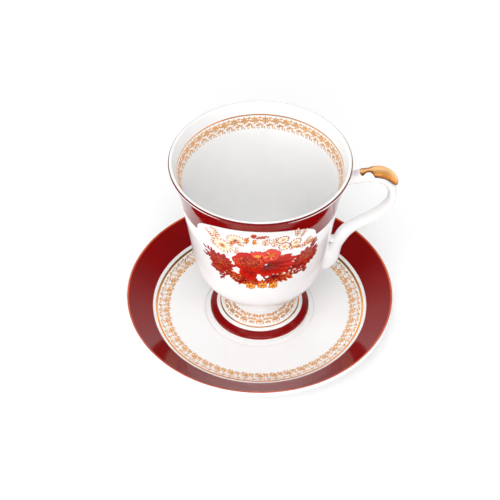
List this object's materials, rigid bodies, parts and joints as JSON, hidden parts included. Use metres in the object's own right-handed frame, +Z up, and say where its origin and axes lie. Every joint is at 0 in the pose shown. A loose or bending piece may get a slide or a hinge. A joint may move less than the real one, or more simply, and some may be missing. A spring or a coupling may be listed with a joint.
{
  "type": "mug and saucer",
  "caption": "Footed porcelain mug with an ear-shaped handle, standing in the well of its wide flared saucer; empty, with a flat foot ring to rest on.",
  "frame": {"origin": "centre of the saucer's foot ring, on the surface it stands on", "axes": "+Z up, +X towards the handle, -Y towards the front of the mug"},
  "size_m": [0.1576, 0.1576, 0.1254],
  "materials": {
    "porcelain": "gloss",
    "maroon_glaze": "gloss",
    "gilding": "polished",
    "floral_print": "gloss"
  },
  "bodies": {
    "root": {"cup": "porcelain", "saucer": "porcelain"}
  },
  "joints": []
}
